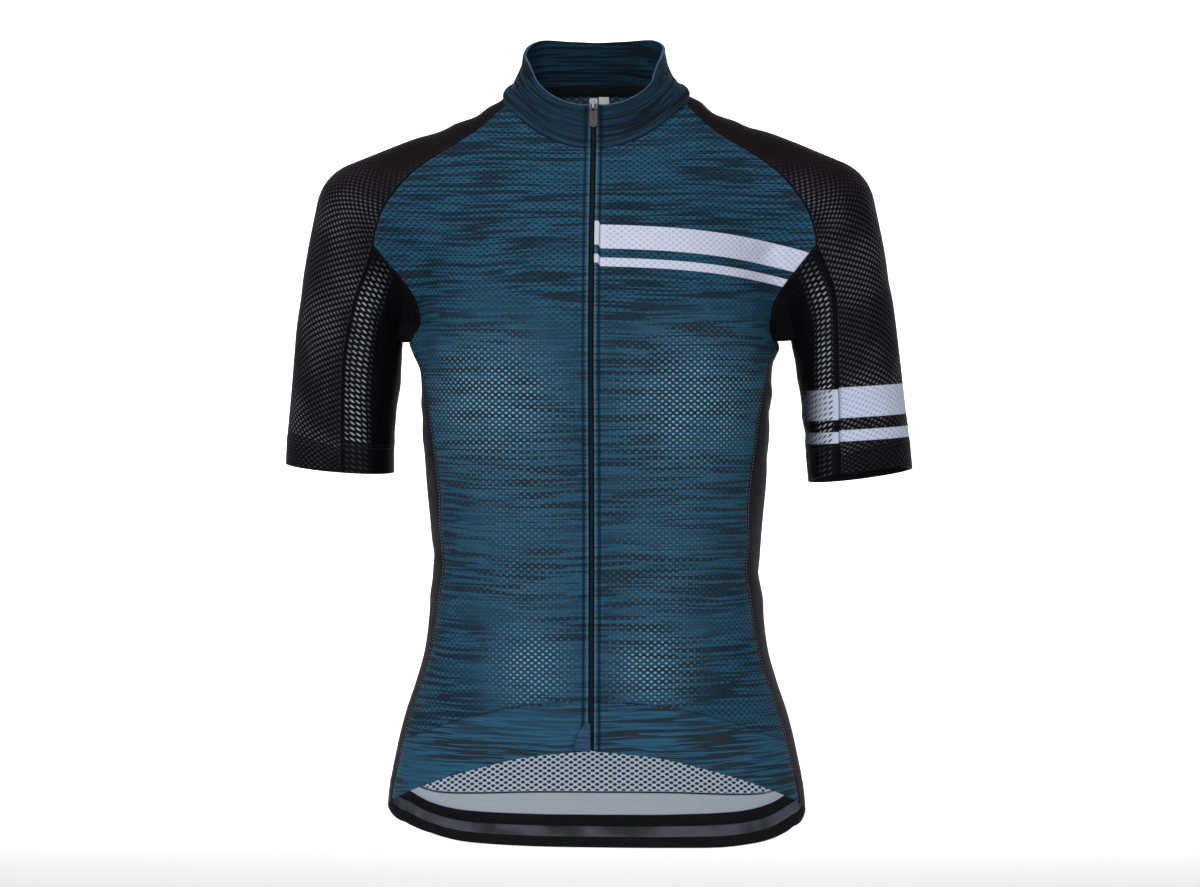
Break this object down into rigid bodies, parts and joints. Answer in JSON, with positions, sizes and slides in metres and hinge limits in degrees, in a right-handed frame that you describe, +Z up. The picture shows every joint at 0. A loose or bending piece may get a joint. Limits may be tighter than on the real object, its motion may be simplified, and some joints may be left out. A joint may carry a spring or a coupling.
{
  "type": "cycling jersey",
  "caption": "Short-sleeved cycling jersey with a full-length zip, raglan sleeves, stand collar, dropped back hem and back pockets, filled out and hollow.",
  "frame": {"origin": "middle of the neck's base between the shoulders, where the wearer's shoulders hold the jersey up", "axes": "+X to the wearer's left, +Y to the back, +Z up, front facing -Y"},
  "size_m": [0.5349, 0.2361, 0.7063],
  "materials": {
    "printed_mesh": "printed eyelet mesh, matt with a faint sheen",
    "printed_knit": "printed plain knit, pale on its inner side",
    "collar_knit": "printed plain knit, doubled",
    "guard_knit": "printed plain knit, folded",
    "black_knit": "black plain knit",
    "black_mesh": "black eyelet mesh, faint sheen",
    "coarse_mesh": "coarse black mesh",
    "elastic": "woven elastic band",
    "grip_strip": "matt grey grip coating",
    "woven_tape": "narrow woven tape",
    "blank_label": "satin woven label, blank",
    "zip_tape": "knitted zip tape",
    "zip_coil": "nylon coil, covered",
    "slider_metal": "nickel-coloured cast metal",
    "pull_tab": "moulded matt tab"
  },
  "bodies": {
    "jersey": {"front_left": "printed_mesh", "front_right": "printed_mesh", "front_band_left": "printed_knit", "front_band_right": "printed_knit", "back": "printed_mesh", "back_band": "printed_knit", "side_left": "black_knit", "side_right": "black_knit", "gripper": "elastic", "gripper_strip": "grip_strip", "sleeve_left": "black_mesh", "sleeve_right": "black_mesh", "under_sleeve_left": "coarse_mesh", "under_sleeve_right": "coarse_mesh", "collar": "collar_knit", "neck_tape": "woven_tape", "neck_label": "blank_label", "zip_tape_left": "zip_tape", "zip_tape_right": "zip_tape", "zip_chain": "zip_coil", "zip_end_guard": "guard_knit", "back_pockets": "printed_knit", "zip_slider": "slider_metal"},
    "pull_tab": {"zip_pull": "pull_tab"}
  },
  "joints": [
    {"name": "pull_tab_swing", "type": "hinge", "parent": "jersey", "child": "pull_tab", "pos_m": [0, -0.0648, -0.011], "axis": [-1, 0, 0], "range_deg": [0, 150]}
  ]
}
